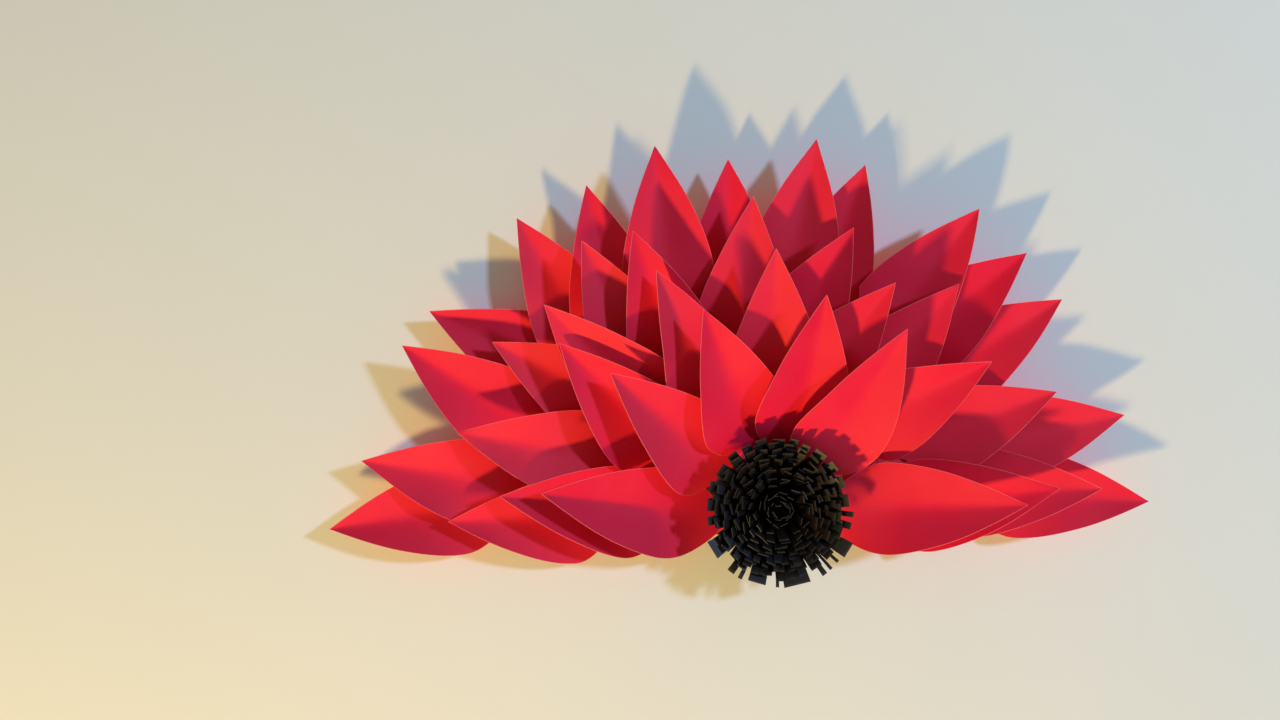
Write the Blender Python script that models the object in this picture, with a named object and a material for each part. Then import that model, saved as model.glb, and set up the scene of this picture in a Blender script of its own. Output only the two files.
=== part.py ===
"""A giant paper flower to hang on a wall: half a bloom, opened like a fan.

Pointed leaves of red card are glued in four rows to a half-disc of cardboard, around a roll of black
paper whose fringed edge splays open. The flower faces -Y, +Z is up, and the back of the cardboard lies
in the plane y = 0. The origin is the centre of the roll on that back face.

Each petal is the same flat leaf: a narrow foot that is glued down flat, then a blade that bends up from
it and folds along its middle into a valley. The petals are laid one by one, from the back to the front,
and each leans out from the wall just far enough to lie in front of those beneath it.
"""

import math
from itertools import product
from typing import NamedTuple

import bpy
import numpy as np
from mathutils import Vector
from mathutils.bvhtree import BVHTree

# Clearance between two pieces that are glued or lie on each other
GLUE_GAP = 0.0003

# Petal, measured on the flat leaf before it is folded
CARD = 0.0004
FOOT_LENGTH = 0.0125
FOOT_HALF_WIDTH = 0.006
BLADE_LENGTH = 0.149
BLADE_HALF_WIDTH = 0.035
POINT_LENGTH = 0.095
VALLEY_SLOPE = math.radians(30.0)
VALLEY_LENGTH = 0.085
CREASE_RADIUS = 0.009
NECK_LENGTH = 0.045
TWIST_LENGTH = 0.040
FULL_NECK_POWER = 0.7
TIP_CREASE = 0.1

# Fringe roll: a strip with one edge cut into teeth, wound around an open core, whose teeth splay out. On
# the last turn's lower side it has fewer cuts, at the angles JOINED_CUTS, and broader teeth that lean more
STRIP_HEIGHT = 0.0525
STRIP_UNCUT = 0.020
STRIP_THICKNESS = 0.0009
TOOTH_WIDTH = 0.0068
TOOTH_TAPER = 0.94
CORE_RADIUS = 0.006
CORE_FLOOR = 0.001
TURN_PITCH = 0.0024
TURNS = 13
RIM_LEAN = math.radians(34.0)
UNEVEN_LEAN = math.radians(1.0)
UNEVEN_RIM_LEAN = math.radians(7.0)
TOOTH_BENDS = 2
UNEVEN_SEED = 7
JOINED_LEAN = math.radians(3.0)
JOINED_CUTS = tuple(math.radians(cut) for cut in (206, 229, 241, 264, 274, 299, 310, 319, 334))
ROLL_RADIUS = CORE_RADIUS + STRIP_THICKNESS + TURN_PITCH * TURNS

# Rings that the petals' feet are glued along, from the roll outwards
INNER_RING = ROLL_RADIUS + 0.002
THIRD_RING = 0.080
SECOND_RING = 0.108
OUTER_RING = 0.150
SECOND_SHIFT = -0.012
OUTER_SHIFT = -0.025

# Backing: a half-disc of corrugated card under the outer ring, with a round lobe behind the roll
BACKING_THICKNESS = 0.003
BACKING_RADIUS = OUTER_RING + 0.034
BACKING_DROP = 0.026
LOBE_RADIUS = ROLL_RADIUS - 0.004

# Mesh steps and the search for each petal's lean
BLADE_ROWS = 7
COLUMN_SHARES = (-1.0, -0.3, 0.0, 0.3, 1.0)
LAYING_GAP = 1.6 * GLUE_GAP
LEAN_STEP = math.radians(1.0)
STEEPEST_LEAN = math.radians(75.0)
NECK_LIFTS = tuple(math.radians(lift) for lift in (0.0, 15.0, 30.0, 45.0))
EXTRA_TWISTS = tuple(math.radians(twist) for twist in (0.0, 6.0, -6.0, 12.0, -12.0, 18.0, -18.0))


class Petal(NamedTuple):
    """Where one petal is glued: angles in degrees anticlockwise from +X, lengths in millimetres."""

    bearing: float     # of its foot, seen from its ring's centre
    heading: float     # of its blade
    beyond: float = 0  # distance of its foot outside its ring
    trim: float = 0    # cut off the narrow end of its blade
    twist: float = 0   # of its blade, which lifts its anticlockwise edge
    full: int = 0      # 1 or -1 if the neck is cut full on its anticlockwise or clockwise side, 2 on both


class Row(NamedTuple):
    """A row of petals in the order in which they are laid."""

    name: str
    ring: float
    shift: float
    least_lean: float
    fullness: float
    petals: tuple


ROWS = (
    Row("outer_petal", OUTER_RING, OUTER_SHIFT, math.radians(8.0), 0.0, (
        Petal(180, 188, beyond=24, trim=13, twist=6, full=1),
        Petal(177, 169, beyond=3, trim=15),
        Petal(143, 156, beyond=15, trim=37),
        Petal(162, 146, beyond=2, trim=16),
        Petal(134, 120, beyond=7, trim=31, twist=10),
        Petal(126, 103, trim=27, twist=10),
        Petal(92, 92, beyond=-2, trim=37),
        Petal(110, 96, trim=16, twist=4),
        Petal(68, 72, trim=27, twist=-10),
        Petal(77, 80, trim=19, twist=-4),
        Petal(32, 33, beyond=4, trim=16, twist=-12),
        Petal(43, 39, beyond=21, trim=34, twist=-12),
        Petal(50, 53, trim=13, twist=-10),
        Petal(3, 357, beyond=23, trim=15, twist=-10, full=-1),
        Petal(14, 12, beyond=10, trim=13, twist=-6),
    )),
    Row("second_petal", SECOND_RING, SECOND_SHIFT, math.radians(14.0), 0.0, (
        Petal(186, 180, trim=23, twist=-2, full=1),
        Petal(145, 152, beyond=11, trim=31),
        Petal(164, 168, beyond=2, trim=22),
        Petal(132, 115, beyond=15, trim=23, twist=8),
        Petal(97, 86, beyond=3, trim=26),
        Petal(121, 109, beyond=3, trim=21, twist=8),
        Petal(82, 62, trim=27, twist=-4),
        Petal(47, 50, beyond=2, trim=32),
        Petal(3, 3, beyond=13, trim=14, twist=-10, full=-1),
        Petal(20, 22, beyond=3, trim=21, twist=-10),
    )),
    Row("third_petal", THIRD_RING, 0.0, math.radians(19.0), 0.0, (
        Petal(142, 136, beyond=25, trim=13, twist=-12),
        Petal(190, 170, beyond=-5, trim=12, twist=10, full=2),
        Petal(154, 134, beyond=8, trim=19, full=1),
        Petal(123, 113, beyond=3, trim=20, twist=8),
        Petal(43, 29, trim=29, twist=6, full=-1),
        Petal(77, 52, beyond=5, trim=29, twist=-4),
        Petal(91, 91, trim=25),
        Petal(354, 10, beyond=-3, trim=12, twist=-8, full=2),
    )),
    Row("inner_petal", INNER_RING, 0.0, math.radians(24.0), 0.7, (
        Petal(202, 168, twist=6, full=1),
        Petal(149, 138, trim=14, twist=8, full=1),
        Petal(109, 112, beyond=2, trim=14, twist=8),
        Petal(70, 82, trim=9, twist=6),
        Petal(350, 5, twist=-10, full=-1),
        Petal(41, 62, trim=6, twist=-4, full=-1),
    )),
)

# Colour, roughness and metallic value of each material
RED_CARD = ("red_card", (0.62, 0.012, 0.04, 1.0), 0.6, 0.0)
BLACK_PAPER = ("black_paper", (0.012, 0.009, 0.008, 1.0), 0.5, 0.0)
BROWN_CARD = ("brown_card", (0.33, 0.2, 0.1, 1.0), 0.8, 0.0)


def ease(t):
    """Rise smoothly from 0 at t = 0 to 1 at t = 1, level at both ends."""
    t = np.clip(t, 0.0, 1.0)
    return t * t * (3.0 - 2.0 * t)


def half_width(s, blade, fullness):
    """Half-width of the flat leaf at the distance s from its foot's bend, for a blade of a given length.

    A quarter sine narrows it to its point. Its neck narrows to the foot by an S-curve, or by a rounded
    quarter sine where it is cut full.
    """
    point = BLADE_HALF_WIDTH * np.sin(0.5 * math.pi * np.clip((blade - s) / POINT_LENGTH, 0.0, 1.0))
    t = np.clip(s / (blade - POINT_LENGTH), 0.0, 1.0)
    neck = (1.0 - fullness) * ease(t) + fullness * np.sin(0.5 * math.pi * t) ** FULL_NECK_POWER
    return np.where(s > blade - POINT_LENGTH, point,
                    FOOT_HALF_WIDTH + (BLADE_HALF_WIDTH - FOOT_HALF_WIDTH) * neck)


def foot_place(petal, row):
    """Where a petal's foot bends away from the backing, in the middle of its card."""
    bearing = math.radians(petal.bearing)
    radius = row.ring + 0.001 * petal.beyond
    front = BACKING_THICKNESS + GLUE_GAP + 0.5 * CARD
    return np.array((row.shift + radius * math.cos(bearing), -front, radius * math.sin(bearing)))


def leaf_surface(foot, heading, blade, fullness, full, twist, lean, lift):
    """Middle surface of a laid petal, as rows of points from the glued edge to the tip.

    The crease starts at the foot's bend with the slope lean + lift and straightens to the lean along the
    neck. Across it the card rises as a hyperbola, whose slope grows with the distance from the foot.
    """
    s = np.concatenate(([-FOOT_LENGTH], np.linspace(0.0, blade, BLADE_ROWS + 1)))
    middle = 0.5 * (s[1:] + s[:-1])
    slope = lean + lift * (1.0 - ease(middle / NECK_LENGTH))
    slope[0] = 0.0
    along = np.concatenate(([0.0], np.cumsum(np.diff(s) * np.cos(slope)))) - FOOT_LENGTH
    out = np.concatenate(([0.0], np.cumsum(np.diff(s) * np.sin(slope))))
    tangent = np.concatenate(([0.0, 0.0], 0.5 * (slope[1:-1] + slope[2:]), [slope[-1]]))[:, None]

    share = np.array(COLUMN_SHARES)
    fullness = np.where((share * full > 0.0) | (full == 2), 1.0, fullness)
    q = share * half_width(np.maximum(s, 0.0)[:, None], blade, fullness)
    q[-1] = 0.0
    valley = VALLEY_SLOPE * ease(s / VALLEY_LENGTH)[:, None]
    softness = CREASE_RADIUS * (1.0 + TIP_CREASE - s / blade)[:, None]
    turn = twist * ease(s / TWIST_LENGTH)[:, None]
    across = q * np.cos(valley)
    rise = np.sin(valley) * (np.hypot(q, softness) - softness)
    side = across * np.cos(turn) - rise * np.sin(turn)
    height = across * np.sin(turn) + rise * np.cos(turn)

    reach = along[:, None] - height * np.sin(tangent)
    proud = out[:, None] + height * np.cos(tangent)
    x = reach * math.cos(heading) - side * math.sin(heading)
    z = reach * math.sin(heading) + side * math.cos(heading)
    return foot + np.stack((x, -proud, z), axis=-1)


def leaf_shell(surface, thickness):
    """Vertices and faces of the closed card around a middle surface whose last row is the tip.

    Its two skins are split into the same triangles, so the card is equally thick all over.
    """
    along = np.gradient(surface, axis=0)
    across = np.gradient(surface, axis=1)
    across[-1] = across[-2]
    normal = np.cross(across, along)
    normal /= np.linalg.norm(normal, axis=-1, keepdims=True)
    normal[-1] = normal[-1, surface.shape[1] // 2]
    front = surface + 0.5 * thickness * normal
    back = surface - 0.5 * thickness * normal
    rows = len(surface) - 1
    columns = surface.shape[1]
    skin = rows * columns + 1
    verts = np.concatenate([part for face in (front, back) for part in (face[:-1].reshape(-1, 3), face[-1, :1])])

    faces = []
    for i in range(rows - 1):
        for j in range(columns - 1):
            a = i * columns + j
            b, c, d = a + 1, a + 1 + columns, a + columns
            faces += [(a, b, d), (b, c, d)] if j < columns // 2 else [(a, b, c), (a, c, d)]
    for j in range(columns - 1):
        a = (rows - 1) * columns + j
        faces.append((a, a + 1, skin - 1))
    faces += [tuple(skin + v for v in reversed(face)) for face in faces]
    first = list(range(columns))
    right = [i * columns + columns - 1 for i in range(1, rows)]
    left = [i * columns for i in range(rows - 1, 0, -1)]
    rim = first + right + [skin - 1] + left
    for a, b in zip(rim, rim[1:] + rim[:1]):
        faces.append((b, a, a + skin, b + skin))
    return verts, faces


def bed_tree(pieces):
    """Search tree over the faces of all pieces laid so far."""
    verts = []
    faces = []
    for piece_verts, piece_faces in pieces:
        faces += [tuple(v + len(verts) for v in face) for face in piece_faces]
        verts += [tuple(point) for point in piece_verts]
    return BVHTree.FromPolygons(verts, faces)


def lies_in_front(surface, bed, roll):
    """Whether a petal touches nothing, the roll included, and nothing laid is in front of its surface."""
    verts, faces = leaf_shell(surface, CARD + LAYING_GAP)
    tree = BVHTree.FromPolygons([tuple(point) for point in verts], faces)
    if tree.overlap(bed) or tree.overlap(roll):
        return False
    outward = Vector((0.0, -1.0, 0.0))
    return all(bed.ray_cast(Vector(point), outward)[0] is None for point in surface[1:].reshape(-1, 3))


def lay_petal(petal, row, foot, bed, roll):
    """Surface of a petal that leans out just far enough to lie in front of everything laid so far.

    At each lean it is tried as it is, with a neck that lifts it, and with its blade twisted either way.
    """
    blade = BLADE_LENGTH - 0.001 * petal.trim
    lean = row.least_lean
    while lean < STEEPEST_LEAN:
        for extra, lift in product(EXTRA_TWISTS, NECK_LIFTS):
            twist = math.radians(petal.twist) + extra
            surface = leaf_surface(foot, math.radians(petal.heading), blade, row.fullness, petal.full,
                                   twist, lean, lift)
            if lies_in_front(surface, bed, roll):
                return surface
        lean += LEAN_STEP
    return surface


def add_object(name, place, verts, faces, material):
    """Mesh object at a place, from vertices in world coordinates and faces, with one material."""
    mesh = bpy.data.meshes.new(name)
    mesh.from_pydata([tuple(point - place) for point in verts], [], faces)
    mesh.materials.append(material)
    mesh.validate()
    mesh.shade_smooth()
    mesh.set_sharp_from_angle(angle=math.radians(40.0))
    thing = bpy.data.objects.new(name, mesh)
    thing.location = place
    bpy.context.scene.collection.objects.link(thing)


def principled(name, colour, roughness, metallic):
    """Material with one Principled BSDF."""
    material = bpy.data.materials.new(name)
    material.use_nodes = True
    shader = material.node_tree.nodes["Principled BSDF"]
    shader.inputs["Base Color"].default_value = colour
    shader.inputs["Roughness"].default_value = roughness
    shader.inputs["Metallic"].default_value = metallic
    material.diffuse_color = colour
    return material


def backing_outline():
    """Outline of the backing in the wall's plane, anticlockwise: the fan's arc, then the roll's lobe."""
    start = math.asin(-BACKING_DROP / BACKING_RADIUS)
    arc = [(OUTER_SHIFT + BACKING_RADIUS * math.cos(a), BACKING_RADIUS * math.sin(a))
           for a in np.linspace(start, math.pi - start, 33)]
    edge = math.asin(BACKING_DROP / LOBE_RADIUS)
    lobe = [(LOBE_RADIUS * math.cos(a), LOBE_RADIUS * math.sin(a))
            for a in np.linspace(math.pi + edge, 2.0 * math.pi - edge, 9)]
    return arc + lobe


def add_backing():
    """Flat card cut to the backing's outline."""
    outline = backing_outline()
    count = len(outline)
    verts = [(x, 0.0, z) for x, z in outline] + [(x, -BACKING_THICKNESS, z) for x, z in outline]
    faces = [tuple(reversed(range(count))), tuple(range(count, 2 * count))]
    for a in range(count):
        b = (a + 1) % count
        faces.append((a, b, b + count, a + count))
    add_object("backing_card", np.zeros(3), np.array(verts), faces, principled(*BROWN_CARD))
    return verts, faces


def tooth_cuts():
    """Angles along the whole winding at which the strip's teeth begin, with the strip's end as the last."""
    cuts = []
    for turn in range(TURNS):
        teeth = round(2.0 * math.pi * (CORE_RADIUS + TURN_PITCH * (turn + 0.5)) / TOOTH_WIDTH)
        cuts += [2.0 * math.pi * (turn + i / teeth) for i in range(teeth)]
    last = 2.0 * math.pi * (TURNS - 1)
    spare = 0.5 * TOOTH_WIDTH / ROLL_RADIUS
    cuts = [cut for cut in cuts if not JOINED_CUTS[0] - spare < cut - last < JOINED_CUTS[-1] + spare]
    return sorted(cuts + [last + cut for cut in JOINED_CUTS]) + [2.0 * math.pi * TURNS]


def tooth_rings(inner, outer, angle, extra_lean):
    """Cross-sections of one tooth above its base, leaning outwards more and more from the core to the rim.

    Points are (right, up, out) with the roll's axis as out.
    """
    radial = np.array((math.cos(angle), math.sin(angle), 0.0))
    tangent = np.array((-math.sin(angle), math.cos(angle), 0.0))
    axis = np.array((0.0, 0.0, 1.0))
    centre = 0.25 * sum(inner) + 0.25 * sum(outer)
    half = 0.5 * TOOTH_TAPER * np.linalg.norm(inner[1] - inner[0])
    mean_lean = RIM_LEAN * np.linalg.norm(centre[:2]) / ROLL_RADIUS + extra_lean
    rings = []
    for i in range(TOOTH_BENDS):
        lean = mean_lean * 2.0 * (i + 1) / (TOOTH_BENDS + 1)
        step = (STRIP_HEIGHT - STRIP_UNCUT) / TOOTH_BENDS
        centre = centre + step * (math.sin(lean) * radial + math.cos(lean) * axis)
        edge = 0.5 * STRIP_THICKNESS * (math.cos(lean) * radial - math.sin(lean) * axis)
        rings.append([centre - half * tangent - edge, centre - half * tangent + edge,
                      centre + half * tangent + edge, centre + half * tangent - edge])
    return rings


def wound_strip(cuts):
    """Points on the inner and outer face of the wound strip at each cut, at the height where teeth begin."""
    points = []
    for angle in cuts:
        inner = CORE_RADIUS + TURN_PITCH * angle / (2.0 * math.pi)
        for radius in (inner, inner + STRIP_THICKNESS):
            points.append(np.array((radius * math.cos(angle), radius * math.sin(angle), STRIP_UNCUT)))
    return points


def fringe_shell():
    """Vertices and faces of the roll as one closed body around its axis, from its base at height 0.

    Its turns are one body up to where the teeth begin. The face between them there is a spiral, and each
    tooth stands on the strip's edge beside it. The core is closed by a thin floor.
    """
    random = np.random.default_rng(UNEVEN_SEED)
    cuts = tooth_cuts()
    verts = wound_strip(cuts)
    last = len(cuts) - 1
    first_turn = sum(angle < 2.0 * math.pi - 1e-6 for angle in cuts)
    last_turn = sum(angle < 2.0 * math.pi * (TURNS - 1) - 1e-6 for angle in cuts)
    faces = []
    for i in range(last):
        below = (2 * i, 2 * i + 1, 2 * i + 3, 2 * i + 2)
        extra_lean = random.uniform(0.0, UNEVEN_RIM_LEAN if i >= last_turn else UNEVEN_LEAN)
        if JOINED_CUTS[0] - 1e-6 < cuts[i] - cuts[last_turn] < JOINED_CUTS[-1] - 1e-6:
            extra_lean += JOINED_LEAN
        inner = (verts[below[0]], verts[below[3]])
        outer = (verts[below[1]], verts[below[2]])
        for ring in tooth_rings(inner, outer, 0.5 * (cuts[i] + cuts[i + 1]), extra_lean):
            above = tuple(range(len(verts), len(verts) + 4))
            verts += ring
            faces += [(below[k], below[(k + 1) % 4], above[(k + 1) % 4], above[k]) for k in range(4)]
            below = above
        faces.append(below)

    spiral = [2 * i for i in range(first_turn, last + 1)] + [2 * i + 1 for i in range(last_turn, -1, -1)]
    core = [2 * i for i in range(first_turn + 1)] + [1]
    rim = [2 * i + 1 for i in range(last, last_turn - 1, -1)] + [2 * last]
    faces.append(tuple(spiral))
    for loop, height in ((rim, 0.0), (core, CORE_FLOOR)):
        under = tuple(range(len(verts), len(verts) + len(loop)))
        verts += [verts[v] * (1.0, 1.0, 0.0) + (0.0, 0.0, height) for v in loop]
        faces += [(loop[k - 1], loop[k], under[k], under[k - 1]) for k in range(len(loop))]
        faces.append(under)
    return verts, faces


def add_fringe_roll():
    """Black paper roll, glued in front of the feet of the inner petals."""
    verts, faces = fringe_shell()
    place = np.array((0.0, -BACKING_THICKNESS - 2.0 * GLUE_GAP - CARD, 0.0))
    turned = [place + (right, -out, up) for right, up, out in verts]
    add_object("fringe_roll", place, turned, faces, principled(*BLACK_PAPER))
    return turned, faces


def add_petals(backing, fringe):
    """All petals, laid from the outer row at the back to the inner row in front."""
    material = principled(*RED_CARD)
    roll = bed_tree([fringe])
    pieces = [backing]
    for row in ROWS:
        for number, petal in enumerate(row.petals, start=1):
            foot = foot_place(petal, row)
            shell = leaf_shell(lay_petal(petal, row, foot, bed_tree(pieces), roll), CARD)
            add_object(f"{row.name}_{number:02d}", foot, *shell, material)
            pieces.append(shell)


for thing in list(bpy.data.objects):
    bpy.data.objects.remove(thing)
add_petals(add_backing(), add_fringe_roll())
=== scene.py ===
"""Looks of a giant paper flower on a wall: half a bloom of red card petals around a black fringed roll."""

import math
from itertools import product
from typing import NamedTuple

import bpy
import numpy as np
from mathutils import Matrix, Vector
from mathutils.bvhtree import BVHTree


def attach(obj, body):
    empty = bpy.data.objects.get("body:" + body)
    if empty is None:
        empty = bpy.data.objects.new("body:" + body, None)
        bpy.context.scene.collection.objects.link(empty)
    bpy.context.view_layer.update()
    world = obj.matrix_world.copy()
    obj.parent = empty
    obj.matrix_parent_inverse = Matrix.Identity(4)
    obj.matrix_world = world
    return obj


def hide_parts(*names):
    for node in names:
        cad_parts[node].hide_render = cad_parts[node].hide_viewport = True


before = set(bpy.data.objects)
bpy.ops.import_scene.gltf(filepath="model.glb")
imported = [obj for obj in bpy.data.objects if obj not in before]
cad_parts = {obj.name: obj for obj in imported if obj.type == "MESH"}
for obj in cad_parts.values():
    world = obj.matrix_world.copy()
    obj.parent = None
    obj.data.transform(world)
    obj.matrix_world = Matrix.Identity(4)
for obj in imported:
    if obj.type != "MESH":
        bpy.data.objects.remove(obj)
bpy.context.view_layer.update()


# Backing card
# A half-disc cut from a brown corrugated box, which everything is glued to. Its front is covered with the
# petals' red card, so no brown shows between them. Its flutes run up the bloom and show at the cut edge.

BACKING_THICKNESS = 0.003
FACING_LEVEL = -0.0026
FLUTE_PITCH = 0.0072
FLUTE_SWING = 0.36
KRAFT = (0.36, 0.215, 0.11, 1.0)
KRAFT_DARK = (0.20, 0.11, 0.05, 1.0)
# Painted shade in the hollows between the flutes, on the cut edge
FLUTE_HOLLOW_SHADE = (0.045, 0.025, 0.012, 1.0)
RED = (0.90, 0.036, 0.064, 1.0)
RED_DEEP = (0.79, 0.008, 0.043, 1.0)


class Strand:
    """An output socket of a material's node tree, on which Python's operators add Math nodes."""

    def __init__(self, socket):
        self.socket = socket

    def node(self, kind, settings=None, sockets=None, output=0):
        """Any other node: its settings are set first, then its sockets get values or links."""
        tree = self.socket.id_data
        made = tree.nodes.new("ShaderNode" + kind)
        for name, value in (settings or {}).items():
            setattr(made, name, value)
        for name, value in (sockets or {}).items():
            if isinstance(value, Strand):
                tree.links.new(value.socket, made.inputs[name])
            else:
                made.inputs[name].default_value = value
        return Strand(made.outputs[output])

    def maths(self, operation, first, second):
        """A Math node's result for two values; an operation on one value leaves the second out."""
        return self.node("Math", {"operation": operation}, {0: first, 1: second})

    def __add__(self, other):
        return self.maths("ADD", self, other)

    def __sub__(self, other):
        return self.maths("SUBTRACT", self, other)

    def __rsub__(self, other):
        return self.maths("SUBTRACT", other, self)

    def __mul__(self, other):
        return self.maths("MULTIPLY", self, other)

    __radd__ = __add__
    __rmul__ = __mul__

    def between(self, low, high):
        """0 where the value is at low, 1 at high, and a smooth rise between them."""
        return self.node("MapRange", {"interpolation_type": "SMOOTHSTEP"}, {"Value": self, 1: low, 2: high})

    def mixed(self, first, second):
        """Colour first where the value is 0 and second where it is 1."""
        return self.node("Mix", {"data_type": "RGBA"}, {0: self, 6: first, 7: second}, output=2)

    def noise(self, scale, detail=2.0, stretch=(1.0, 1.0, 1.0)):
        """Noise over this vector, which is first stretched along its axes."""
        place = self.node("Mapping", None, {"Vector": self, "Scale": stretch})
        return self.node("TexNoise", None, {"Vector": place, "Scale": scale, "Detail": detail})


def new_finish(name):
    """A material, its Principled shader, and its Object coordinates."""
    material = bpy.data.materials.new(name)
    material.use_nodes = True
    tree = material.node_tree
    shader = tree.nodes["Principled BSDF"]
    place = Strand(tree.nodes.new("ShaderNodeTexCoord").outputs["Object"])
    return material, shader, place


def wire(shader, **inputs):
    """Links strands to the shader's inputs, or sets their values; an underscore in a name is a space."""
    for name, value in inputs.items():
        socket = shader.inputs[name.replace("_", " ")]
        if isinstance(value, Strand):
            shader.id_data.links.new(value.socket, socket)
        else:
            socket.default_value = value


def kraft_finish():
    """Brown liner with long fibres and the faint ribs of its flutes; wavy flutes on the cut edge, with
    painted shade in their hollows.

    The flutes' paper is a sine wave through the sheet's thickness, and away from it the edge is painted dark
    as the shade in the hollows.
    """
    material, shader, place = new_finish("kraft_card")
    fibre = place.noise(900.0, 3.0, (1.0, 1.0, 0.12))
    cloud = place.noise(14.0, 3.0)
    sideways = place.node("SeparateXYZ", None, {0: place}, output=0)
    depth = place.node("SeparateXYZ", None, {0: place}, output=1)
    wave = place.maths("SINE", sideways * (2.0 * math.pi / FLUTE_PITCH), 0.0)
    level = depth * (1.0 / BACKING_THICKNESS) + 0.5
    from_paper = place.maths("ABSOLUTE", level - FLUTE_SWING * wave, 0.0)
    normal = place.node("NewGeometry", output=1)
    facing = place.node("SeparateXYZ", None, {0: normal}, output=1)
    edge = 1.0 - place.maths("ABSOLUTE", facing, 0.0).between(0.3, 0.6)
    # Painted shade: dark in the flutes' hollows, on faces that look sideways
    hollow_shade = edge * from_paper.between(0.10, 0.22)
    liner = (0.55 * fibre + 0.6 * cloud + 0.12 * wave - 0.1).mixed(KRAFT_DARK, KRAFT)
    colour = hollow_shade.mixed(liner, FLUTE_HOLLOW_SHADE)
    rib = 0.5 + 0.5 * wave
    colour = depth.between(FACING_LEVEL, FACING_LEVEL + 0.0001).mixed(cloud.mixed(RED_DEEP, RED), colour)
    height = 0.25 * fibre + 0.35 * rib
    bump = place.node("Bump", None, {"Strength": 0.35, "Distance": 0.0006, "Height": height})
    wire(shader, Base_Color=colour, Roughness=0.82 + 0.12 * fibre, Normal=bump)
    return material


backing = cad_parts["backing_card"]
backing.data.materials.clear()
backing.data.materials.append(kraft_finish())


# Petals
# Leaves cut from red craft card, pointed at the tip and creased along the middle into a valley, with a
# narrow foot glued down flat. They are laid row by row from the outside in, and each rests on those below.

MILLIMETRE = 0.001
GLUE_GAP = 0.0003
CARD = 0.0004
# The card with some air around it, as which a petal is tried against those that are laid
LAYING_THICKNESS = CARD + 1.6 * GLUE_GAP
FOOT_LENGTH = 0.0125
FOOT_HALF_WIDTH = 0.006
BLADE_LENGTH = 0.149
BLADE_HALF_WIDTH = 0.035
POINT_LENGTH = 0.095
VALLEY_SLOPE = math.radians(30.0)
RELAXED_SLOPE = math.radians(23.5)
VALLEY_LENGTH = 0.085
CREASE_RADIUS = 0.009
NECK_LENGTH = 0.045
TWIST_LENGTH = 0.040
ROLL_RADIUS = 0.0381
STEEPEST_LEAN = math.radians(75.0)
LEAN_STEP = math.radians(1.0)
NECK_LIFTS = tuple(math.radians(lift) for lift in (0.0, 15.0, 30.0, 45.0))
EXTRA_TWISTS = tuple(math.radians(twist) for twist in (0.0, 6.0, -6.0, 12.0, -12.0, 18.0, -18.0))
CAD_ROWS = 7
CAD_SHARES = np.array((-1.0, -0.3, 0.0, 0.3, 1.0))
FINE_ROWS = 56
FINE_SHARES = np.linspace(-1.0, 1.0, 21)
# What a fine petal tries in turn until it touches no other: how far it is raised, the length over which it
# keeps the solid's facets, and how much of its unevenness it keeps
RAISED = tuple(math.radians(raised) for raised in (0.0, 0.5, 1.0, 1.5, 2.0, 2.5, 3.0))
FACETED = (-0.03, 0.0, 0.015, 0.03)
FACETED_FURTHER = np.arange(0.04, 0.16, 0.01)
KEPT_UNEVEN = (1.0, 0.4, 0.0)
FACETS_EASE = 0.03
# The most of a petal's bow, the wave of its edges, that wave's phase, and how far one side stands out
UNEVEN = (0.0022, 0.0009, math.pi, 0.0018)
EVEN_NECK = 0.06
WAVE_LENGTH = 0.075
FULL_NECK_POWER = 0.7
TIP_CREASE = 0.1
CRISP_ANGLE = math.radians(40.0)
# How far the paler core at a cut edge reaches onto the faces, as a painted highlight along the edge
PALE_CORE_AND_HIGHLIGHT_BAND = (0.00010, 0.00030)
BUCKLED_LENGTH = 0.05
# The paler core at the cut, which also serves as a painted highlight along the edge
PAPER_CORE_AND_HIGHLIGHT = (0.95, 0.18, 0.19, 1.0)


class Petal(NamedTuple):
    """Where one petal is glued: angles in degrees anticlockwise from +X, lengths in millimetres.

    Its foot stands at the bearing, that far beyond the row's ring, and it points along the heading. Its blade
    is cut shorter by trim and is twisted. Its neck is full on the side 1 or -1, or on both where full is 2.
    """

    bearing: float
    heading: float
    beyond: float = 0
    trim: float = 0
    twist: float = 0
    full: int = 0


class Row(NamedTuple):
    """A row of petals in the order in which they are laid.

    Their feet stand on a ring, whose middle is shifted sideways. They lean out by the least lean or more, and
    the fullness is that of their necks, from 0 for narrow to 1.
    """

    name: str
    ring: float
    shift: float
    least_lean: float
    fullness: float
    petals: tuple


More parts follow.
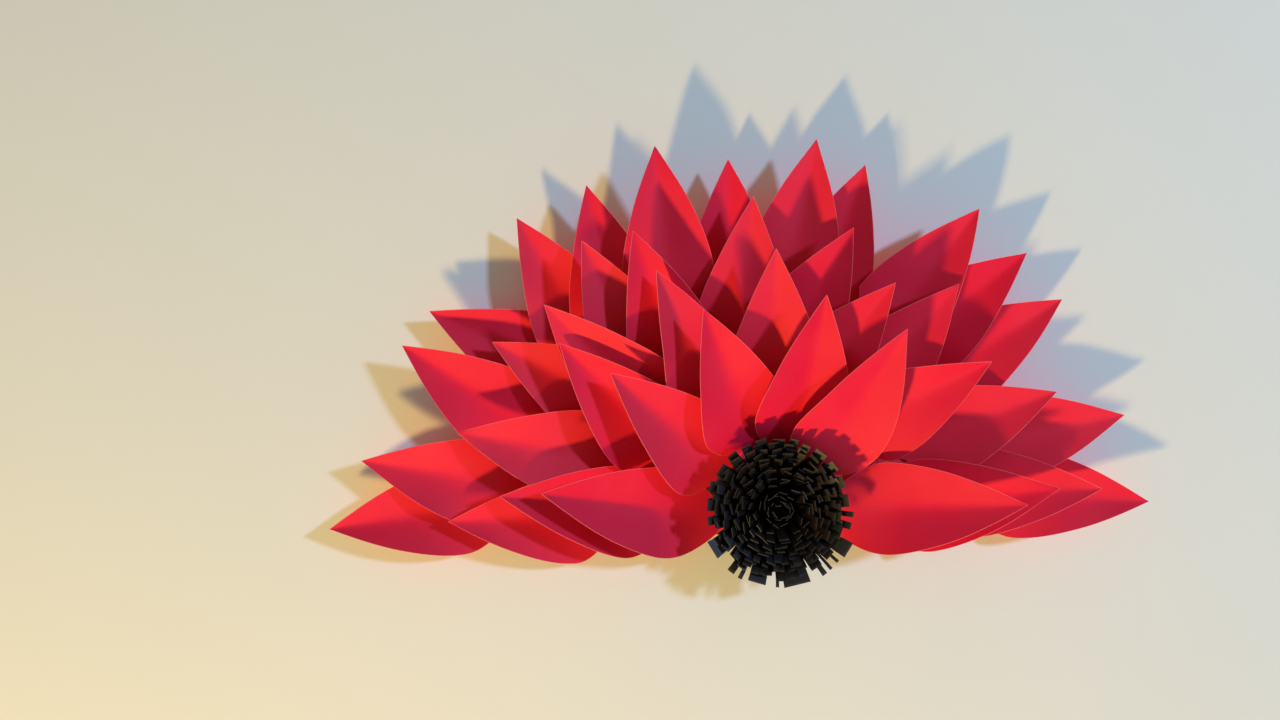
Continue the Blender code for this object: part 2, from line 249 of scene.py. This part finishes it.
ROWS = (
    Row("outer_petal", 0.150, -0.025, math.radians(8.0), 0.0, (
        Petal(180, 188, beyond=24, trim=13, twist=6, full=1),
        Petal(177, 169, beyond=3, trim=15),
        Petal(143, 156, beyond=15, trim=37),
        Petal(162, 146, beyond=2, trim=16),
        Petal(134, 120, beyond=7, trim=31, twist=10),
        Petal(126, 103, trim=27, twist=10),
        Petal(92, 92, beyond=-2, trim=37),
        Petal(110, 96, trim=16, twist=4),
        Petal(68, 72, trim=27, twist=-10),
        Petal(77, 80, trim=19, twist=-4),
        Petal(32, 33, beyond=4, trim=16, twist=-12),
        Petal(43, 39, beyond=21, trim=34, twist=-12),
        Petal(50, 53, trim=13, twist=-10),
        Petal(3, 357, beyond=23, trim=15, twist=-10, full=-1),
        Petal(14, 12, beyond=10, trim=13, twist=-6),
    )),
    Row("second_petal", 0.108, -0.012, math.radians(14.0), 0.0, (
        Petal(186, 180, trim=23, twist=-2, full=1),
        Petal(145, 152, beyond=11, trim=31),
        Petal(164, 168, beyond=2, trim=22),
        Petal(132, 115, beyond=15, trim=23, twist=8),
        Petal(97, 86, beyond=3, trim=26),
        Petal(121, 109, beyond=3, trim=21, twist=8),
        Petal(82, 62, trim=27, twist=-4),
        Petal(47, 50, beyond=2, trim=32),
        Petal(3, 3, beyond=13, trim=14, twist=-10, full=-1),
        Petal(20, 22, beyond=3, trim=21, twist=-10),
    )),
    Row("third_petal", 0.080, 0.0, math.radians(19.0), 0.0, (
        Petal(142, 136, beyond=25, trim=13, twist=-12),
        Petal(190, 170, beyond=-5, trim=12, twist=10, full=2),
        Petal(154, 134, beyond=8, trim=19, full=1),
        Petal(123, 113, beyond=3, trim=20, twist=8),
        Petal(43, 29, trim=29, twist=6, full=-1),
        Petal(77, 52, beyond=5, trim=29, twist=-4),
        Petal(91, 91, trim=25),
        Petal(354, 10, beyond=-3, trim=12, twist=-8, full=2),
    )),
    Row("inner_petal", ROLL_RADIUS + 0.002, 0.0, math.radians(24.0), 0.7, (
        Petal(202, 168, twist=6, full=1),
        Petal(149, 138, trim=14, twist=8, full=1),
        Petal(109, 112, beyond=2, trim=14, twist=8),
        Petal(70, 82, trim=9, twist=6),
        Petal(350, 5, twist=-10, full=-1),
        Petal(41, 62, trim=6, twist=-4, full=-1),
    )),
)


def ease(t):
    """Smooth rise from 0 to 1: three times the square less twice the cube."""
    t = np.clip(t, 0.0, 1.0)
    return t * t * (3.0 - 2.0 * t)


def half_width(s, blade, fullness):
    """Half-width of the flat leaf at the distance s from its foot's bend.

    A quarter sine narrows it to its point. Its neck is an S-curve, or a quarter sine where it is cut full.
    """
    point = BLADE_HALF_WIDTH * np.sin(0.5 * math.pi * np.clip((blade - s) / POINT_LENGTH, 0.0, 1.0))
    t = np.clip(s / (blade - POINT_LENGTH), 0.0, 1.0)
    neck = (1.0 - fullness) * ease(t) + fullness * np.sin(0.5 * math.pi * t) ** FULL_NECK_POWER
    return np.where(s > blade - POINT_LENGTH, point,
                    FOOT_HALF_WIDTH + (BLADE_HALF_WIDTH - FOOT_HALF_WIDTH) * neck)


def leaf_surface(foot, heading, blade, fullness, full, twist, lean, lift, rows, share,
                 valley_slope=VALLEY_SLOPE):
    """Middle surface of a laid petal, and the flat leaf's s, q and half-width at each of its points.

    The crease runs out at the angle lean, plus lift near the foot. Across it the card rises by the
    hyperbola sin(valley) (sqrt(q squared + softness squared) - softness), where the valley deepens from
    nothing at the foot to valley_slope. The section then turns by twist.
    """
    s = np.concatenate(([-FOOT_LENGTH], np.linspace(0.0, blade, rows + 1)))
    middle = 0.5 * (s[1:] + s[:-1])
    slope = lean + lift * (1.0 - ease(middle / NECK_LENGTH))
    slope[0] = 0.0
    along = np.concatenate(([0.0], np.cumsum(np.diff(s) * np.cos(slope)))) - FOOT_LENGTH
    out = np.concatenate(([0.0], np.cumsum(np.diff(s) * np.sin(slope))))
    tangent = np.concatenate(([0.0, 0.0], 0.5 * (slope[1:-1] + slope[2:]), [slope[-1]]))[:, None]

    fullness = np.where((share * full > 0.0) | (full == 2), 1.0, fullness)
    half = half_width(np.maximum(s, 0.0)[:, None], blade, fullness)
    q = share * half
    q[-1] = 0.0
    valley = valley_slope * ease(s / VALLEY_LENGTH)[:, None]
    softness = CREASE_RADIUS * (1.0 + TIP_CREASE - s / blade)[:, None]
    turn = twist * ease(s / TWIST_LENGTH)[:, None]
    across = q * np.cos(valley)
    rise = np.sin(valley) * (np.hypot(q, softness) - softness)
    side = across * np.cos(turn) - rise * np.sin(turn)
    height = across * np.sin(turn) + rise * np.cos(turn)

    reach = along[:, None] - height * np.sin(tangent)
    proud = out[:, None] + height * np.cos(tangent)
    x = reach * math.cos(heading) - side * math.sin(heading)
    z = reach * math.sin(heading) + side * math.cos(heading)
    return foot + np.stack((x, -proud, z), axis=-1), np.broadcast_to(s[:, None], q.shape), q, half


def leaf_shell(surface, thickness):
    """Points and faces of the closed card around a middle surface whose last row is the tip.

    Each skin is the surface moved half the thickness along its normal, which is the cross product of the
    grid's two directions. A wall joins the rims of the skins.
    """
    along = np.gradient(surface, axis=0)
    across = np.gradient(surface, axis=1)
    across[-1] = across[-2]
    normal = np.cross(across, along)
    normal /= np.linalg.norm(normal, axis=-1, keepdims=True)
    rows, columns = surface.shape[0] - 1, surface.shape[1]
    normal[-1] = normal[-1, columns // 2]
    skins = [surface + side * 0.5 * thickness * normal for side in (1.0, -1.0)]
    points = np.concatenate([part for skin in skins for part in (skin[:-1].reshape(-1, 3), skin[-1, :1])])
    tip = rows * columns
    index = np.arange(tip).reshape(rows, columns)
    a, b, c, d = index[:-1, :-1], index[:-1, 1:], index[1:, 1:], index[1:, :-1]
    left = np.arange(columns - 1) < columns // 2
    halves = ((a, b, d), left), ((b, c, d), left), ((a, b, c), ~left), ((a, c, d), ~left)
    cells = np.concatenate([np.stack([corner[:, side] for corner in order], -1).reshape(-1, 3)
                            for order, side in halves])
    ends = np.stack((index[-1, :-1], index[-1, 1:], np.full(columns - 1, tip)), -1)
    rim = np.concatenate((index[0], index[1:, -1], [tip], index[:0:-1, 0]))
    after = np.roll(rim, -1)
    wall = np.stack((after, rim, rim + tip + 1, after + tip + 1), -1)
    faces = cells.tolist() + ends.tolist() + (cells[:, ::-1] + tip + 1).tolist()
    return points, faces + (ends[:, ::-1] + tip + 1).tolist() + wall.tolist()


def shell_tree(points, faces):
    """Search tree over a shell's faces."""
    return BVHTree.FromPolygons(points.tolist(), faces)


def joined(shells):
    """Points and faces of several shells together."""
    starts = np.cumsum([0] + [len(points) for points, _ in shells])
    faces = [[v + int(start) for v in face] for start, (_, part) in zip(starts, shells) for face in part]
    return np.concatenate([points for points, _ in shells]), faces


def lies_in_front(surface, bed):
    """Whether a petal touches nothing that is laid, and nothing laid is in front of its surface."""
    tree = shell_tree(*leaf_shell(surface, LAYING_THICKNESS))
    outward = Vector((0.0, -1.0, 0.0))
    return not tree.overlap(bed) and all(
        bed.ray_cast(Vector(point), outward)[0] is None for point in surface[1:].reshape(-1, 3))


def laid_petal(petal, row, bed):
    """What leaf_surface takes for a petal that leans out just far enough to lie in front of the bed."""
    bearing = math.radians(petal.bearing)
    radius = row.ring + MILLIMETRE * petal.beyond
    front = BACKING_THICKNESS + GLUE_GAP + 0.5 * CARD
    foot = np.array((row.shift + radius * math.cos(bearing), -front, radius * math.sin(bearing)))
    blade = BLADE_LENGTH - MILLIMETRE * petal.trim
    lean = row.least_lean
    while lean < STEEPEST_LEAN:
        for extra, lift in product(EXTRA_TWISTS, NECK_LIFTS):
            shape = (foot, math.radians(petal.heading), blade, row.fullness, petal.full,
                     math.radians(petal.twist) + extra, lean, lift)
            if lies_in_front(leaf_surface(*shape, CAD_ROWS, CAD_SHARES)[0], bed):
                return shape
        lean += LEAN_STEP
    return shape


def finely_laid(shape, raised, facets, uneven):
    """The laid petal on the fine grid, raised a little, with the solid's flat facets as far as facets.

    From there on it eases over from those facets to the true curves, and to a valley that has opened to the
    relaxed slope, as creased card does. Its unevenness is added in front of it: a bow that grows with s
    squared, a wave along the edges, and one side standing further out.
    """
    *placed, lean, lift = shape
    shape = (*placed, lean + raised, lift)
    blade = shape[2]
    curved, s, q, half = leaf_surface(*shape, FINE_ROWS, FINE_SHARES, RELAXED_SLOPE)
    solid = leaf_surface(*shape, CAD_ROWS, CAD_SHARES)[0]
    solid_s = np.concatenate(([-FOOT_LENGTH], np.linspace(0.0, blade, CAD_ROWS + 1)))
    down = np.array([np.interp(s[:, 0], solid_s, hat) for hat in np.eye(len(solid_s))])
    over = np.array([np.interp(FINE_SHARES, CAD_SHARES, hat) for hat in np.eye(len(CAD_SHARES))])
    flat = np.einsum("ir,jc,ijk->rck", down, over, solid)
    surface = flat + ease((s - facets) / FACETS_EASE)[..., None] * (curved - flat)
    bow, wave, phase, cant = uneven
    ripple = np.sin(s * (2.0 * math.pi / WAVE_LENGTH) + phase)
    out = bow * (s / blade) ** 2 + wave * FINE_SHARES ** 2 * ripple
    out += cant * FINE_SHARES * abs(FINE_SHARES) * (1.0 - s / blade)
    surface[..., 1] -= ease(s / EVEN_NECK) * out
    return surface, s, half - abs(q)


def smooth_mesh(name, points, faces):
    """Mesh object shaded smooth, with its crisp edges kept sharp."""
    mesh = bpy.data.meshes.new(name)
    mesh.from_pydata(np.asarray(points).tolist(), [], faces)
    mesh.shade_smooth()
    mesh.set_sharp_from_angle(angle=CRISP_ANGLE)
    thing = bpy.data.objects.new(name, mesh)
    bpy.context.scene.collection.objects.link(thing)
    return thing


def give(thing, name, values):
    """One number for each point of a piece, for its material to read."""
    attribute = thing.data.attributes.new(name, "FLOAT", "POINT")
    attribute.data.foreach_set("value", np.asarray(values, dtype=np.float32))


def red_card_finish():
    """Matt dyed card: cloudy red with fine fibres, buckled near its foot, and a paler core at the cut, spread
    onto the faces as a painted highlight along the edge.
    """
    material, shader, place = new_finish("red_craft_card")
    tone, edge, neck = (place.node("Attribute", {"attribute_name": name}, output=2)
                        for name in ("tone", "edge", "neck"))
    cloud = place.noise(18.0, 4.0)
    fibre = place.noise(1400.0, 2.0)
    grain = place.noise(420.0, 3.0)
    red = (0.9 * cloud + 0.5 * tone + 0.25 * fibre - 0.35).mixed(RED_DEEP, RED)
    # The paler core at the cut, spread onto the faces as a painted highlight along the edge
    cut = 1.0 - edge.between(*PALE_CORE_AND_HIGHLIGHT_BAND)
    colour = (cut * (0.7 + 0.4 * grain)).mixed(red, PAPER_CORE_AND_HIGHLIGHT)
    buckle = place.noise(55.0, 2.0) * (1.0 - neck.between(0.0, BUCKLED_LENGTH))
    height = 0.10 * fibre + 0.16 * grain + 1.4 * buckle
    bump = place.node("Bump", None, {"Strength": 0.5, "Distance": 0.0007, "Height": height})
    wire(shader, Base_Color=colour, Roughness=0.58 + 0.14 * grain, Normal=bump, Specular_IOR_Level=0.2)
    return material


red_card = red_card_finish()
hand = np.random.default_rng(39)
tries = [(raised, facets, share) for raised in RAISED for share in KEPT_UNEVEN for facets in FACETED]
tries += [(0.0, facets, 0.0) for facets in FACETED_FURTHER]
# Each petal is laid as the solid's flat facets first, and then finely, so that it touches none before it
backing_points = np.array([tuple(point.co) for point in backing.data.vertices])
coarse_bed = [(backing_points, [list(face.vertices) for face in backing.data.polygons])]
fine_bed = []
for row in ROWS:
    for number, petal in enumerate(row.petals, start=1):
        shape = laid_petal(petal, row, shell_tree(*joined(coarse_bed)))
        coarse_bed.append(leaf_shell(leaf_surface(*shape, CAD_ROWS, CAD_SHARES)[0], CARD))
        uneven = hand.uniform(-1.0, 1.0, 4) * UNEVEN
        for raised, facets, share in tries:
            surface, s, edge = finely_laid(shape, raised, facets, uneven * (share, share, 1.0, share))
            points, faces = leaf_shell(surface, CARD)
            tree = shell_tree(points, faces)
            low, high = points.min(axis=0), points.max(axis=0)
            near = [other for other, least, most in fine_bed if (low < most).all() and (least < high).all()]
            if not any(tree.overlap(other) for other in near):
                break
        fine_bed.append((tree, low, high))
        name = f"{row.name}_{number:02d}"
        leaf = smooth_mesh(f"folded_{name}", points, faces)
        for key, values in (("edge", edge), ("neck", s)):
            skin = np.append(values[:-1].ravel(), values[-1, 0])
            give(leaf, key, np.concatenate((skin, skin)))
        give(leaf, "tone", np.full(len(points), hand.uniform(-0.5, 0.5)))
        leaf.data.materials.append(red_card)
        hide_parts(name)
        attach(leaf, "root")


# Fringed roll
# A long strip of black paper with one edge cut into teeth, wound around an open core and glued down on its
# uncut edge. Its teeth are pushed outwards, and the last turn's stand away unevenly, some still joined.

STRIP_HEIGHT = 0.0525
STRIP_UNCUT = 0.020
STRIP_PAPER = 0.00045
CORE_RADIUS = 0.006
TURN_PITCH = 0.0024
TURNS = 13
STEPS_A_TURN = 48
# The floor under the turns, black paper that also stands in as painted shade deep between them: its sides and
# thickness
FLOOR_SIDES = 32
CORE_FLOOR = 0.001
# The teeth's width, the shares of it that they are cut to by eye, and how it shrinks towards the core
TOOTH_WIDTH = 0.0068
CUT_SHARES = (0.78, 1.40)
CORE_SHARE = 0.4
FULL_WIDTH_RADIUS = 0.030
# A tooth's shape: its foot inside the uncut strip, its length's change, its taper and its lean, and then
# how far, in degrees, its lean changes and its width curls
TOOTH_STEPS = 6
TOOTH_FOOT = 0.001
LENGTH_CHANGE = (-0.0030, 0.0008)
TOOTH_TAPER = 0.94
RIM_TAPER = 0.99
RIM_LEAN = math.radians(34.0)
LEAST_LEAN_SHARE = 0.25
LEAN_CHANGE = 5.0
CURL = 22.0
RIM_CURL = 4.0
# The innermost turns stand more upright, and the last turn is steadier, except on its lower side
INNER_TURNS = 2.5
INNER_UPRIGHT = math.radians(10.0)
RIM_STEADY = 0.35
LOWER_SIDE = -0.35
LOWER_LEAN = math.radians(11.0)
LOWER_LENGTH = 0.002
LOWER_SPREAD = 0.45
BLACK = (0.0060, 0.0036, 0.0030, 1.0)
BLACK_DUSTY = (0.0150, 0.0076, 0.0048, 1.0)
# The paler cut edge near the teeth's tips, in patches as painted glints
BLACK_CUT_GLINT = (0.034, 0.024, 0.018, 1.0)
# The last turn's teeth in degrees: how wide they are, the gap beside each and where they end, and then the
# angles between which each runs on the lower side, where several are joined
RIM_WIDTHS = (10.0, 18.0)
RIM_CUTS = 15
RIM_GAP = 0.7
RIM_END = 202.0
RIM_PIECES = ((203, 221), (230, 237), (239, 243), (245, 262), (268, 271), (272, 297), (303, 308), (310, 313),
              (317, 320), (322, 337), (343, 351), (353, 359))


def swept_boxes(rings):
    """Points and faces of many bars, each a four-cornered section carried along its own path.

    rings is indexed by bar, step along the path, corner and coordinate.
    """
    bars, steps = rings.shape[:2]
    index = np.arange(bars * steps * 4).reshape(bars, steps, 4)
    after = np.roll(index, -1, axis=2)
    sides = np.stack((index[:, :-1], after[:, :-1], after[:, 1:], index[:, 1:]), -1).reshape(-1, 4)
    ends = np.concatenate((index[:, 0, ::-1], index[:, -1]))
    return rings.reshape(-1, 3), sides.tolist() + ends.tolist()


def strip_teeth(random):
    """Start and end angle of every tooth along the winding, in radians from the core's first turn.

    Up to the last turn the strip is cut by eye, so the teeth's widths vary. Each cut is their running sum.
    """
    whole = 2.0 * math.pi * (TURNS - 1)
    cuts = [0.0]
    while cuts[-1] < whole:
        radius = CORE_RADIUS + TURN_PITCH * cuts[-1] / (2.0 * math.pi)
        wide = TOOTH_WIDTH * min(1.0, CORE_SHARE + radius / FULL_WIDTH_RADIUS)
        cuts.append(cuts[-1] + wide * random.uniform(*CUT_SHARES) / radius)
    rim = np.concatenate(([0.0], np.cumsum(random.uniform(*RIM_WIDTHS, RIM_CUTS))))
    rim = [(start, end - RIM_GAP) for start, end in zip(rim, rim[1:]) if end < RIM_END] + list(RIM_PIECES)
    return np.concatenate((np.stack((cuts[:-2], cuts[1:-1]), -1), whole + np.radians(rim)))


def teeth_rings(spans, random):
    """Sections of every tooth, from just inside the uncut strip to its tip, as rings of four corners.

    A tooth's lean grows evenly along it, from nothing to twice its mean. The mean grows with the radius. On
    the lower side of the last turn the teeth lean further, and spread as they go out.
    """
    count = len(spans)
    angle = spans.mean(axis=1)
    radius = CORE_RADIUS + TURN_PITCH * angle / (2.0 * math.pi)
    rim = angle > 2.0 * math.pi * (TURNS - 1)
    below = rim & (np.sin(angle) < LOWER_SIDE)
    loose = np.where(rim & ~below, RIM_STEADY, 1.0)
    upright = (angle < 2.0 * math.pi * INNER_TURNS) * INNER_UPRIGHT
    lean = RIM_LEAN * np.maximum(radius / ROLL_RADIUS, LEAST_LEAN_SHARE) - upright
    lean += loose * np.radians(random.uniform(-LEAN_CHANGE, LEAN_CHANGE, count)) + below * LOWER_LEAN
    length = STRIP_HEIGHT - STRIP_UNCUT + loose * random.uniform(*LENGTH_CHANGE, count) + LOWER_LENGTH * below
    wide = 2.0 * radius * np.sin(0.5 * (spans[:, 1] - spans[:, 0])) * np.where(rim, RIM_TAPER, TOOTH_TAPER)
    curl = np.radians(np.where(rim, RIM_CURL, CURL) * random.uniform(-1.0, 1.0, count))
    u = np.linspace(0.0, 1.0, TOOTH_STEPS + 1)
    middle = 0.5 * (u[1:] + u[:-1])
    bend = 2.0 * lean[:, None] * middle
    step = length[:, None] / TOOTH_STEPS
    out = np.concatenate((np.zeros((count, 1)), np.cumsum(step * np.sin(bend), axis=1)), axis=1)
    up = np.concatenate((np.full((count, 1), -TOOTH_FOOT), np.cumsum(step * np.cos(bend), axis=1)), axis=1)
    bend = 2.0 * lean[:, None] * u
    turn = curl[:, None] * u
    radial = np.stack((np.cos(angle), np.sin(angle), 0.0 * angle), -1)[:, None]
    tangent = np.stack((-np.sin(angle), np.cos(angle), 0.0 * angle), -1)[:, None]
    axis = np.array((0.0, 0.0, 1.0))
    normal = np.cos(bend)[..., None] * radial - np.sin(bend)[..., None] * axis
    side = np.cos(turn)[..., None] * tangent + np.sin(turn)[..., None] * normal
    face = np.cos(turn)[..., None] * normal - np.sin(turn)[..., None] * tangent
    centre = (radius[:, None] + out)[..., None] * radial + (STRIP_UNCUT + up)[..., None] * axis
    spread = 1.0 + LOWER_SPREAD * below[:, None] * out / radius[:, None]
    half = 0.5 * (wide[:, None] * spread)[..., None] * side
    skin = 0.5 * STRIP_PAPER * face
    start, end = centre - half, centre + half
    return np.stack((start - skin, start + skin, end + skin, end - skin), 2)


def uncut_ring():
    """Sections of the strip's uncut part: a rectangle carried along a spiral that widens evenly."""
    angle = np.linspace(0.0, 2.0 * math.pi * TURNS, STEPS_A_TURN * TURNS + 1)
    radius = CORE_RADIUS + TURN_PITCH * angle / (2.0 * math.pi)
    corners = []
    for side, height in ((-0.5, 0.0), (-0.5, STRIP_UNCUT), (0.5, STRIP_UNCUT), (0.5, 0.0)):
        reach = radius + side * STRIP_PAPER
        level = np.full_like(angle, height)
        corners.append(np.stack((reach * np.cos(angle), reach * np.sin(angle), level), -1))
    return np.stack(corners, 1)[None]


def shade_floor_disc():
    """Points and faces of the thin round floor under the turns, black paper that also stands in as painted
    shade deep between them: two equal circles, walled and closed.
    """
    angle = np.linspace(0.0, 2.0 * math.pi, FLOOR_SIDES, endpoint=False)
    across = ROLL_RADIUS * np.cos(angle), ROLL_RADIUS * np.sin(angle)
    circles = [np.stack((*across, np.full(FLOOR_SIDES, height)), -1) for height in (0.0, CORE_FLOOR)]
    index = np.arange(FLOOR_SIDES)
    after = np.roll(index, -1)
    wall = np.stack((index, after, after + FLOOR_SIDES, index + FLOOR_SIDES), -1)
    return np.concatenate(circles), wall.tolist() + [index[::-1].tolist(), (index + FLOOR_SIDES).tolist()]


def black_paper_finish():
    """Smooth black paper with a slight sheen, brownish dust, and paler cut edges near the teeth's tips with
    painted glints in patches.
    """
    material, shader, place = new_finish("black_fringe_paper")
    cut = place.node("Attribute", {"attribute_name": "cut"}, output=2)
    tone = place.node("Attribute", {"attribute_name": "tone"}, output=2)
    cloud = place.noise(60.0, 3.0)
    fibre = place.noise(1500.0, 2.0)
    black = (0.7 * cloud + 0.45 * tone + 0.3 * fibre - 0.25).mixed(BLACK, BLACK_DUSTY)
    # Painted glints in patches near the teeth's tips, on the paler cut edge
    colour = (cut.between(0.93, 0.99) * (0.3 + 0.9 * cloud)).mixed(black, BLACK_CUT_GLINT)
    height = 0.3 * fibre + 0.6 * cloud
    bump = place.node("Bump", None, {"Strength": 0.4, "Distance": 0.0004, "Height": height})
    wire(shader, Base_Color=colour, Roughness=0.40 + 0.2 * fibre, Normal=bump, Specular_IOR_Level=0.35)
    return material


winder = np.random.default_rng(52)
spans = strip_teeth(winder)
teeth = teeth_rings(spans, winder)
# The black floor closes the gaps between the turns from below, as painted shade
points, faces = joined([swept_boxes(teeth), swept_boxes(uncut_ring()), shade_floor_disc()])
# Wound with its height along Z, the roll is laid with its floor on the feet of the inner petals
base = BACKING_THICKNESS + 2.0 * GLUE_GAP + CARD
fringe = smooth_mesh("wound_fringe", np.stack((points[:, 0], -base - points[:, 2], points[:, 1]), -1), faces)
tooth_cut = np.broadcast_to(np.linspace(0.0, 1.0, teeth.shape[1])[None, :, None], teeth.shape[:3]).ravel()
tooth_tone = np.repeat(winder.uniform(-0.5, 0.5, len(spans)), teeth.shape[1] * 4)
rest = np.zeros(len(points) - len(tooth_cut))
give(fringe, "cut", np.concatenate((tooth_cut, rest)))
give(fringe, "tone", np.concatenate((tooth_tone, rest)))
fringe.data.materials.append(black_paper_finish())
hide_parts("fringe_roll")
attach(fringe, "root")


# Wall, floor, lamps and camera
# A pale wall that the bloom hangs on, seen only from its front, and a pale floor below the picture. A soft
# warm lamp stands low on the left, a cool one high on the right, and a third lights the back.

WALL_GAP = 0.004
WALL_TOP = 3.0
FLOOR_LEVEL = -2.4
ROOM_HALF = 4.0
FLOOR_GLOW = 0.5
WALL_LINEN = (0.78, 0.75, 0.68, 1.0)
WALL_LINEN_SHADE = tuple(0.97 * c for c in WALL_LINEN[:3]) + (1.0,)
DARK = (0.0, 0.0, 0.0, 1.0)
ROOM_GLOW = (0.236, 0.280, 0.242, 1.0)
AIM = Vector((-0.02, -0.03, 0.10))


def flat_sheet(name, corners, glow):
    """A plain stage surface that can't be seen from behind and holds back no lamp's light.

    The glow is a light of its own that only the camera sees. It keeps a surface pale where no lamp shines.
    """
    mesh = bpy.data.meshes.new(name)
    mesh.from_pydata(corners, [], [tuple(range(len(corners)))])
    thing = bpy.data.objects.new(name, mesh)
    bpy.context.scene.collection.objects.link(thing)
    material, shader, place = new_finish(name)
    grain = place.noise(6.0, 4.0)
    seen = place.node("LightPath", output=0)
    wire(shader, Base_Color=grain.mixed(WALL_LINEN, WALL_LINEN_SHADE), Roughness=0.9,
         Emission_Color=seen.mixed(DARK, WALL_LINEN), Emission_Strength=glow)
    behind = place.node("NewGeometry", output=6)
    unseen = place.maths("MAXIMUM", behind, place.node("LightPath", output=1))
    clear = place.node("BsdfTransparent")
    surface = place.node("MixShader", None, {0: unseen, 1: Strand(shader.outputs[0]), 2: clear})
    material.node_tree.links.new(surface.socket, material.node_tree.nodes["Material Output"].inputs[0])
    mesh.materials.append(material)


flat_sheet("linen_wall", [(-ROOM_HALF, WALL_GAP, FLOOR_LEVEL), (ROOM_HALF, WALL_GAP, FLOOR_LEVEL),
                          (ROOM_HALF, WALL_GAP, WALL_TOP), (-ROOM_HALF, WALL_GAP, WALL_TOP)], glow=0.0)
flat_sheet("pale_floor", [(-ROOM_HALF, -ROOM_HALF, FLOOR_LEVEL), (ROOM_HALF, -ROOM_HALF, FLOOR_LEVEL),
                          (ROOM_HALF, ROOM_HALF, FLOOR_LEVEL), (-ROOM_HALF, ROOM_HALF, FLOOR_LEVEL)],
           glow=FLOOR_GLOW)


def lamp(name, place, size, watts, colour):
    """A square soft lamp that shines at the bloom."""
    light = bpy.data.lights.new(name, "AREA")
    light.size = size
    light.energy = watts
    light.color = colour
    thing = bpy.data.objects.new(name, light)
    thing.location = place
    thing.rotation_euler = (AIM - Vector(place)).to_track_quat("-Z", "Y").to_euler()
    bpy.context.scene.collection.objects.link(thing)


lamp("low_left_lamp", (-0.92, -1.14, -1.66), 0.16, 47.0, (1.0, 0.69, 0.21))
lamp("high_right_lamp", (2.00, -2.20, 0.84), 0.24, 62.0, (0.39, 0.60, 1.0))
lamp("back_lamp", (0.7, 1.5, 0.9), 0.8, 14.0, (1.0, 1.0, 1.0))

world = bpy.data.worlds.new("soft_room")
bpy.context.scene.world = world
world.use_nodes = True
seen = Strand(world.node_tree.nodes.new("ShaderNodeLightPath").outputs["Is Camera Ray"])
wire(world.node_tree.nodes["Background"], Color=seen.mixed(ROOM_GLOW, WALL_LINEN))

camera = bpy.data.objects.new("camera", bpy.data.cameras.new("camera"))
camera.location = (-0.1001, -0.77385, 0.1078)
camera.rotation_euler = (math.radians(90.0), 0.0, 0.0)
camera.data.sensor_fit = "HORIZONTAL"
camera.data.sensor_width = 36.0
camera.data.lens = 28.27
bpy.context.scene.collection.objects.link(camera)
bpy.context.scene.camera = camera
bpy.context.scene.view_settings.view_transform = "Standard"
